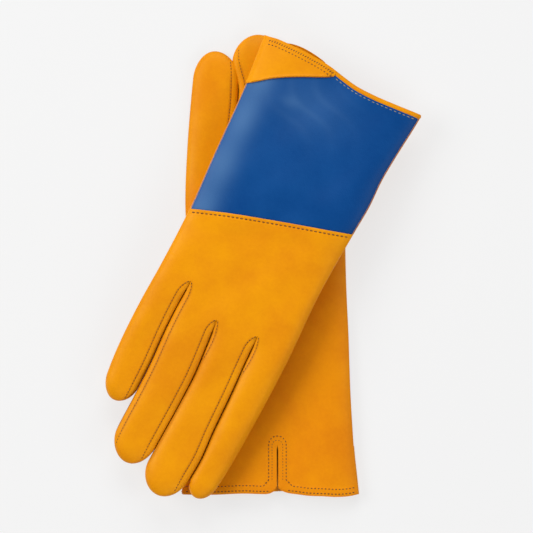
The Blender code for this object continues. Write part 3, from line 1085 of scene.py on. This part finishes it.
def thumb_sheet(name, thumb, up):
    """One of a thumb's two flat sheets, darker towards its seam."""

    def form(across, along):
        y = thumb_rows(along)
        edge = thumb.seam(y)
        x = (2 * across - 1) * edge
        z = thumb.height(x, y) * (1 if up else -1)
        near = np.clip(1.0 - (edge - np.abs(x)) / 0.9, 0.0, 1.0)
        return thumb.place(x, y, z), near

    return thicken(laid_grid(name, 14, 60, form), upwards(up), YELLOW)


def thumb_side(name, thumb):
    """The strip round a thumb, between its two sheets."""

    def form(across, along):
        """Once round the thumb's outline: up its right side, over the tip and down its left."""
        trip = 2.0 * along
        back = trip > 1.0
        share = np.where(back, 2.0 - trip, trip)
        y = thumb_rows(share)
        half = thumb.half(y)
        turn = np.abs(1.0 - 2.0 * across)
        inset = (half - thumb.seam(y)) * 1.25 * turn**2.2
        x = (half - inset) * np.where(back, -1.0, 1.0)
        up = np.where(across < 0.5, 1.0, -1.0)
        z = up * (thumb.height(x, y) - 0.2 * ease((turn - 0.75) / 0.2) * np.minimum(half / 4, 1.0))
        near = 0.7 * ease((turn - 0.8) / 0.2)
        return thumb.place(x, y, z), near

    strip = laid_grid(name, 12, 120, form)
    edit_whole(merge_close, face_outwards)
    total = 0.0
    middle = thumb.place(0.0, 20.0, 0.0)
    for polygon in strip.data.polygons:
        outward = np.array(polygon.center) - middle
        total += float(np.array(polygon.normal)[:2] @ outward[:2]) * polygon.area
    if total < 0:
        edit_whole(bpy.ops.mesh.flip_normals)
    return add_thickness(strip, YELLOW)


COLLAR_RADIUS = 9.3


def finger_at(glove, x, y):
    """The finger whose width each point lies in."""
    found = np.zeros(len(x), int)
    for number in (1, 2, 3):
        found[x > glove.line(number, y)] = number
    return found


def surface(glove, x, y, up, fingers):
    """z of the leather's outer face at points that lie on given fingers."""
    z = np.empty_like(x)
    for finger in range(4):
        here = fingers == finger
        if here.any():
            z[here] = glove.height(finger, x[here], y[here], up)
    return z


def thumb_collar(name, glove, thumb, up):
    """The round seam allowance that stands between the palm's hole and the thumb's inner sheet."""
    sign = 1 if up else -1
    thumb_z = thumb.pivot[2] - sign * (THUMB_HALF_DEPTH - 0.4) * MM

    def form(across, along):
        angle = across * 2 * math.pi
        radius = (COLLAR_RADIUS + 0.9 * (1.0 - np.sin(along * math.pi))) * MM
        x = thumb.pivot[0] + radius * np.cos(angle)
        y = thumb.pivot[1] + radius * np.sin(angle)
        plan_x, plan_y = glove.plan((x, y))
        palm_z = surface(glove, plan_x, plan_y, up, finger_at(glove, plan_x, plan_y))
        palm_z = glove.wrist[2] + (palm_z - sign * LEATHER_THICKNESS * 0.6) * MM
        z = palm_z + (thumb_z - palm_z) * along
        return np.stack((x, y, z), axis=-1), 0.8 * (1.0 - np.sin(along * math.pi))

    return close_tube(laid_grid(name, 48, 8, form))


def close_tube(tube):
    """Merges a tube's seam and closed ends, turns its faces outwards and smooths it."""
    edit_whole(merge_close, face_outwards)
    tube.data.materials.append(YELLOW)
    bpy.ops.object.shade_smooth_by_angle(angle=SMOOTH_ANGLE)
    return tube


for glove, inner_up in ((RIGHT, True), (LEFT, False)):
    joint = JOINTS[f"{glove.name}_thumb_swing"]
    low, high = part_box(f"{glove.name}_thumb_outer")
    other_low, other_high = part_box(f"{glove.name}_thumb_inner")
    middle_z = (min(low[2], other_low[2]) + max(high[2], other_high[2])) / 2
    pivot = (joint["pos_m"][0], joint["pos_m"][1], middle_z)
    thumb = Thumb(pivot, math.degrees(glove.turn) + THUMB_TURN)
    for side, up in (("inner", inner_up), ("outer", not inner_up)):
        sheet = thumb_sheet(f"{glove.name}_thumb_{side}_leather", thumb, up)
        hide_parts(f"{glove.name}_thumb_{side}")
        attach(sheet, f"{glove.name}_thumb")
    strip = thumb_side(f"{glove.name}_thumb_side_leather", thumb)
    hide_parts(f"{glove.name}_thumb_side")
    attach(strip, f"{glove.name}_thumb")
    collar = thumb_collar(f"{glove.name}_thumb_collar_leather", glove, thumb, not inner_up)
    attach(collar, f"{glove.name}_glove")

# Corner patches. A yellow piece laid over the blue panel's corner at the hem, on the little
# finger's side, with a rolled slanting edge that is sewn down close to it.

PATCH_HEIGHTS = {"right": 1.1, "left": 0.75}
PATCH_INNER_X = 4.2


PATCH_EDGE = (
    (4.2, -68.4), (8, -66.1), (12, -64.1), (20, -60.3), (28, -56.1), (36, -51.1), (40, -48.0),
    (46.4, -43.3),
)
PUCKER_PITCH = 1.9


def patch_edge(x):
    """The patch's slanting edge, which waves a little."""
    return curve_through(PATCH_EDGE, x)


def corner_patch(name, glove, up):
    """The patch, between the hem and its slanting edge, puckered where it is sewn down."""

    def form(across, along):
        side_low = glove.line_at(4, HEM_Y)
        side_high = glove.line_at(4, -43.0)
        low_x = PATCH_INNER_X + (side_low - PATCH_INNER_X) * across
        high_x = PATCH_INNER_X + (side_high - PATCH_INNER_X) * across
        low_y = back_hem(glove)(low_x) - 0.5
        high_y = patch_edge(high_x)
        x = low_x + (high_x - low_x) * along
        y = low_y + (high_y - low_y) * along
        side = glove.line(4, y)
        x = np.minimum(x, side)
        z = surface(glove, x, y, up, finger_at(glove, x, y))
        sign = 1 if up else -1
        rim = np.minimum(side - x, 3.0) / 3.0
        rolled = 1.0 - 0.3 * np.exp(-((high_y - y) / 0.35) ** 2)
        dimples = 1.0 - 0.35 * np.cos(high_x * 2 * math.pi / PUCKER_PITCH) ** 2
        puff = 0.42 * dimples * np.exp(-((high_y - y - 0.8) / 0.6) ** 2)
        inner = ease((x - PATCH_INNER_X) / 6.0)
        height = PATCH_HEIGHTS[glove.name] * (0.65 + 0.35 * inner) * rolled
        puff = puff * inner * (1.0 if up else 0.0)
        z = z + sign * (height * (0.25 + 0.75 * ease(rim)) + puff)
        x = x + 0.25 * (1.0 - ease(rim))
        # Darker along the sewn edge: partly the seam's dark dye and needle holes, partly painted
        # shade for the shadow line under the rolled edge.
        holes = 0.8 + 0.35 * np.cos(high_x * math.pi / PUCKER_PITCH) ** 2
        near = np.exp(-(((high_y - y) / 0.6) ** 2)) * holes
        return glove.place(x, y, z), near

    patch = laid_grid(name, 110, 30, form)
    return thicken(patch, upwards(up), YELLOW)


for glove, up, body in ((RIGHT, True, "right_gauntlet"), (LEFT, False, "left_glove")):
    patch = corner_patch(f"{glove.name}_corner_patch_leather", glove, up)
    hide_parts(f"{glove.name}_corner_patch")
    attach(patch, body)

# Hem bindings. A strip of yellow leather rolled over the blue panel's raw edge, from the corner
# patch to the index finger's side, and sewn through with pale thread.

BINDING_WIDTH = 2.8
BINDING_DEPTH = 2.2


def hem_binding(name, glove, up):
    """A rolled strip along the hem, closed at both ends."""

    def form(across, along):
        side = glove.line_at(0, HEM_Y)
        x = PATCH_INNER_X + 0.8 + (side - 0.2 - PATCH_INNER_X - 0.8) * along
        y = back_hem(glove)(x)
        inside = np.maximum(x, side + 0.05)
        z = surface(glove, inside, y, up, finger_at(glove, inside, y))
        sign = 1 if up else -1
        angle = across * 2 * math.pi
        closing = np.sqrt(np.clip(np.minimum(along, 1.0 - along) / 0.012, 0.0, 1.0))
        y = y + 0.8 + closing * BINDING_WIDTH / 2 * np.cos(angle)
        z = z - sign * 0.45 + closing * BINDING_DEPTH / 2 * np.sin(angle)
        near = 0.5 * ease((np.cos(angle) - 0.75) / 0.2)
        return glove.place(x, y, z), near

    return close_tube(laid_grid(name, 16, 90, form))


for glove, up, body in ((RIGHT, True, "right_gauntlet"), (LEFT, False, "left_glove")):
    tube = hem_binding(f"{glove.name}_hem_binding_leather", glove, up)
    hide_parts(f"{glove.name}_hem_binding")
    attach(tube, body)

# Vent facings. A U-shaped strip of thin leather, sewn round the slit inside the palm's hem.

FACING_WIDTH = 5.0
FACING_THICKNESS = 0.7
FACING_LOW = HEM_Y + 3.0


def vent_facing(name, glove, up):
    """A facing just inside the palm's leather, under the slit's raised outline."""
    straight = VENT_TOP - FACING_LOW

    def form(across, along):
        """along runs up the left leg, round the slit's top and down the right leg."""
        radius = VENT_HALF + 0.1 + FACING_WIDTH * across
        angle = np.clip((along - 0.35) / 0.3, 0.0, 1.0) * math.pi
        x = VENT_X - radius * np.cos(angle)
        low = np.where(along < 0.5, along / 0.35, (1.0 - along) / 0.35)
        y = np.where(
            (along > 0.35) & (along < 0.65),
            VENT_TOP + radius * np.sin(angle),
            FACING_LOW + straight * np.clip(low, 0.0, 1.0),
        )
        z = surface(glove, x, y, up, finger_at(glove, x, y))
        z = z + (PLACKET_LIFT - 0.07 - LEATHER_THICKNESS) * (1 if up else -1)
        return glove.place(x, y, z), np.zeros_like(x)

    facing = laid_grid(name, 6, 60, form)
    return thicken(facing, upwards(up), YELLOW, FACING_THICKNESS)


for glove, up, body in ((RIGHT, False, "right_gauntlet"), (LEFT, True, "left_glove")):
    facing = vent_facing(f"{glove.name}_vent_facing_leather", glove, up)
    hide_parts(f"{glove.name}_vent_facing")
    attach(facing, body)

# Stitching. Waxed polyester thread: brown on the yellow leather, pale grey on the blue. Each
# stitch is a short, slightly sunk length of thread between two needle holes.

SLOPE_STEP = 0.12
THREAD_PROUD = 0.02
BROWN_THREAD = (0.170, 0.052, 0.006, 1.0)
PALE_THREAD = (0.400, 0.370, 0.300, 1.0)


def thread_material(name, colour):
    """Twisted thread with a slight sheen."""
    return fibrous_material(name, colour, 0.5, 1400.0, 2.0, 0.5, (0.5, 0.7), (0.4, 0.0001))


BROWN = thread_material("brown_thread", BROWN_THREAD)
PALE = thread_material("pale_thread", PALE_THREAD)


def model_stitch():
    """One stitch of unit length along x, with its ends drawn down into the leather."""
    bpy.ops.object.select_all(action="DESELECT")
    bpy.ops.mesh.primitive_uv_sphere_add(
        segments=6, ring_count=5, radius=0.5, rotation=(0, math.pi / 2, 0)
    )
    stitch = bpy.context.object
    bpy.ops.object.transform_apply(location=False, rotation=True, scale=False)
    points = np.array([vertex.co for vertex in stitch.data.vertices])
    points[:, 2] -= 1.4 * points[:, 0] ** 2
    faces = [tuple(polygon.vertices) for polygon in stitch.data.polygons]
    bpy.data.objects.remove(stitch)
    return points, faces


STITCH_POINTS, STITCH_FACES = model_stitch()


def even_steps(path, pitch):
    """Points at an even pitch along a path, and the direction of the path there."""
    path = np.asarray(path, float)
    spans = np.hypot(*np.diff(path, axis=0).T)
    keep = np.concatenate([[True], spans > 1e-6])
    path = path[keep]
    spans = np.hypot(*np.diff(path, axis=0).T)
    walked = np.concatenate([[0.0], np.cumsum(spans)])
    count = max(int(walked[-1] / pitch), 1)
    at = (np.arange(count) + 0.5) * walked[-1] / count
    x = np.interp(at, walked, path[:, 0])
    y = np.interp(at, walked, path[:, 1])
    ahead = np.minimum(at + 0.3, walked[-1])
    behind = np.maximum(at - 0.3, 0.0)
    along_x = np.interp(ahead, walked, path[:, 0]) - np.interp(behind, walked, path[:, 0])
    along_y = np.interp(ahead, walked, path[:, 1]) - np.interp(behind, walked, path[:, 1])
    return x, y, np.arctan2(along_y, along_x)


def slope(glove, x, y, up, fingers, step_x, step_y):
    """How steeply the leather rises in one direction."""
    ahead = surface(glove, x + step_x, y + step_y, up, fingers)
    behind = surface(glove, x - step_x, y - step_y, up, fingers)
    return np.clip((ahead - behind) / (2 * SLOPE_STEP), -1.5, 1.5)


def sew(name, glove, up, runs, material, finger=None, lift=0.0):
    """Stitches along runs of (path, pitch, length, width, slant), joined into one piece. They
    stand lift above the glove's own leather."""
    places, faces = [], []
    sign = 1.0 if up else -1.0
    for path, pitch, length, width, slant in runs:
        x, y, heading = even_steps(path, pitch)
        heading = heading + math.radians(slant)
        fingers = finger_at(glove, x, y) if finger is None else np.full(len(x), finger)
        z = surface(glove, x, y, up, fingers) + sign * (lift + THREAD_PROUD)
        slope_x = slope(glove, x, y, up, fingers, SLOPE_STEP, 0.0)
        slope_y = slope(glove, x, y, up, fingers, 0.0, SLOPE_STEP)
        for i in range(len(x)):
            along = np.array([math.cos(heading[i]), math.sin(heading[i]), 0.0])
            along[2] = slope_x[i] * along[0] + slope_y[i] * along[1]
            along /= np.linalg.norm(along)
            normal = np.array([-slope_x[i], -slope_y[i], 1.0])
            normal = sign * normal / np.linalg.norm(normal)
            aside = np.cross(normal, along)
            local = STITCH_POINTS * np.array([length, width, width * 0.9])
            spot = np.array([x[i], y[i], z[i]])
            points = spot + local[:, :1] * along + local[:, 1:2] * aside + local[:, 2:] * normal
            first = len(places) * len(STITCH_POINTS)
            places.append(glove.place(points[:, 0], points[:, 1], points[:, 2]))
            faces += [tuple(first + corner for corner in face) for face in STITCH_FACES]
    mesh = bpy.data.meshes.new(name)
    mesh.from_pydata(np.concatenate(places).tolist(), [], faces)
    thread = bpy.data.objects.new(name, mesh)
    bpy.context.scene.collection.objects.link(thread)
    mesh.materials.append(material)
    select_only(thread)
    edit_whole(face_outwards)
    bpy.ops.object.shade_smooth()
    return thread


# Each kind of row: its pitch, and its stitches' length, width and slant.
FINE = (1.75, 1.2, 0.38, 0)
TOPSTITCH = (2.45, 1.75, 0.62, 0)
HEM_ROW = (1.95, 1.25, 0.56, 0)
HEM_CROSS = (1.45, 1.5, 0.50, 62)
PALE_ROW = (2.6, 1.8, 0.46, 0)
PATCH_ROW = (1.9, 0.9, 0.34, 0)
INNER_ROW = (1.6, 1.0, 0.36, 0)


def finger_seams(glove, finger, up):
    """The seams up both sides of a finger, from its slits' tops to where they meet its outline."""
    start, length = glove.shoulder(finger)
    runs = []
    for side in (0, 1):
        low = glove.roots[finger + side]
        y = np.linspace(low + 0.4, start + 0.95 * length, 120)
        x = glove.seam_sides(finger, y, up)[side]
        outline = glove.sides(finger, y)[side]
        showing = np.abs(x - outline) > 0.9
        showing |= y < low + 5.0
        if finger + side in (0, 4) and glove.seams[finger][side] < 0.9 and up:
            continue
        count = int(np.argmin(showing)) if not showing.all() else len(y)
        shift = 0.2 if side == 0 else -0.2
        runs.append((np.stack((x + shift, y), axis=1)[:count], *FINE))
    return runs


for glove in (RIGHT, LEFT):
    for finger, label in enumerate(FINGERS):
        for up, side in ((True, "upper"), (False, "lower")):
            runs = finger_seams(glove, finger, up)
            thread = sew(f"{glove.name}_{label}_{side}_thread", glove, up, runs, BROWN, finger)
            bind_to_finger(thread, glove, finger)


def line_of(form, low, high, shift):
    """A path along a line y = form(x), moved up by a shift."""
    x = np.linspace(low, high, 80)
    return np.stack((x, form(x) + shift), axis=1)


for glove, up in ((RIGHT, True), (LEFT, False)):
    low_side, high_side = glove.line_at(0, 9.0) + 1.6, glove.line_at(4, 35.0) - 1.6
    runs = [(line_of(back_seam, low_side, high_side, 2.0), *TOPSTITCH)]
    thread = sew(f"{glove.name}_back_seam_thread", glove, up, runs, BROWN, lift=LAP_HEIGHT)
    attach(thread, f"{glove.name}_glove")

for glove, up, body in ((RIGHT, True, "right_gauntlet"), (LEFT, False, "left_glove")):
    hem = back_hem(glove)
    side = glove.line_at(4, HEM_Y)
    runs = [
        (line_of(hem, PATCH_INNER_X + 1.0, side - 3.2, 1.7), *HEM_CROSS),
        (line_of(hem, PATCH_INNER_X + 1.0, side - 3.4, 3.9), *HEM_ROW),
        (line_of(patch_edge, PATCH_INNER_X + 1.0, 43.2, -1.3), *PATCH_ROW),
    ]
    thread = sew(f"{glove.name}_patch_thread", glove, up, runs, BROWN, lift=PATCH_HEIGHTS[glove.name])
    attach(thread, body)
    index_side = glove.line_at(0, HEM_Y)
    runs = [(line_of(hem, index_side + 2.5, PATCH_INNER_X - 1.0, 3.1), *PALE_ROW)]
    thread = sew(f"{glove.name}_binding_thread", glove, up, runs, PALE)
    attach(thread, body)


def u_path(half, top, low):
    """Up one side of the slit, round its top and down the other side."""
    y = np.linspace(low, top - half, 20)
    angle = np.linspace(math.pi, 0.0, 24)
    left = np.stack((np.full(20, VENT_X - half), y), axis=1)
    right = np.stack((np.full(20, VENT_X + half), y[::-1]), axis=1)
    arch = np.stack((VENT_X + half * np.cos(angle), top - half + half * np.sin(angle)), axis=1)
    return np.concatenate((left, arch, right))


for glove, up, body in ((LEFT, True, "left_glove"), (RIGHT, False, "right_gauntlet")):
    hem = palm_hem(glove)
    flat_hem = functools.partial(curve_through, glove.palm_hem)
    low_side, high_side = glove.line_at(0, HEM_Y), glove.line_at(4, HEM_Y)
    outer = u_path(PLACKET_HALF, PLACKET_TOP, HEM_Y + 8.0)
    left_row = line_of(flat_hem, low_side + 2.0, VENT_X - PLACKET_HALF - 3.0, 4.5)
    right_row = line_of(flat_hem, VENT_X + PLACKET_HALF + 3.5, high_side - 2.0, 4.3)
    runs = [
        (np.concatenate((left_row, outer, right_row)), *HEM_ROW),
        (u_path(3.0, PLACKET_TOP - 2.4, HEM_Y + 7.5), *INNER_ROW),
        (line_of(hem, low_side + 2.0, VENT_X - 4.6, 1.6), *HEM_ROW),
        (line_of(hem, VENT_X + 5.6, high_side - 2.0, 1.6), *HEM_ROW),
    ]
    thread = sew(f"{glove.name}_palm_hem_thread", glove, up, runs, BROWN, lift=PLACKET_LIFT)
    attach(thread, body)

# The studio. A pale floor, four large soft lights round the gloves, the strongest on their left,
# and a camera with a long lens straight above them.

CAMERA_MIDDLE = (-0.0014, 0.0003)
FIELD = 0.2974
LENS = 400.0
SENSOR = 36.0
GLOVES_HEIGHT = 0.018
LIGHT_SIZE = 1.2

bpy.ops.object.select_all(action="DESELECT")
bpy.ops.mesh.primitive_plane_add(size=6.0, location=(0.0, 0.0, -0.0002))
floor = bpy.context.object
floor.name = "studio_floor"
floor_material, _, _, floor_shader = new_material("pale_floor")
floor_shader.inputs["Base Color"].default_value = (0.18, 0.18, 0.18, 1.0)
floor_shader.inputs["Roughness"].default_value = 0.9
floor_shader.inputs["Specular IOR Level"].default_value = 0.0
floor_shader.inputs["Emission Color"].default_value = (1.0, 1.0, 1.0, 1.0)
floor_shader.inputs["Emission Strength"].default_value = 0.70
floor.data.materials.append(floor_material)


def soft_light(name, place, power):
    """A round soft light that shines at the middle of the gloves."""
    light = bpy.data.lights.new(name, "AREA")
    light.shape = "DISK"
    light.size = LIGHT_SIZE
    light.energy = power
    lamp = bpy.data.objects.new(name, light)
    bpy.context.scene.collection.objects.link(lamp)
    lamp.location = place
    x, y, z = place
    lamp.rotation_euler = (math.atan2(math.hypot(x, y), z), 0.0, math.atan2(x, -y))


soft_light("left_light", (-1.35, 0.45, 1.25), 23.5)
soft_light("right_light", (1.4, -0.3, 1.25), 9.0)
soft_light("back_light", (0.0, 1.4, 1.15), 17.0)
soft_light("front_light", (0.2, -1.4, 1.30), 8.5)

world = bpy.data.worlds.new("studio")
world.use_nodes = True
world.node_tree.nodes["Background"].inputs["Color"].default_value = (1.0, 1.0, 1.0, 1.0)
world.node_tree.nodes["Background"].inputs["Strength"].default_value = 0.15
bpy.context.scene.world = world
bpy.context.scene.view_settings.view_transform = "Standard"

camera_data = bpy.data.cameras.new("camera")
camera_data.lens = LENS
camera_data.sensor_width = SENSOR
camera_data.clip_end = 10.0
camera = bpy.data.objects.new("camera", camera_data)
bpy.context.scene.collection.objects.link(camera)
camera_height = FIELD * LENS / SENSOR + GLOVES_HEIGHT
camera.location = (CAMERA_MIDDLE[0], CAMERA_MIDDLE[1], camera_height)
bpy.context.scene.camera = camera

bpy.context.view_layer.update()
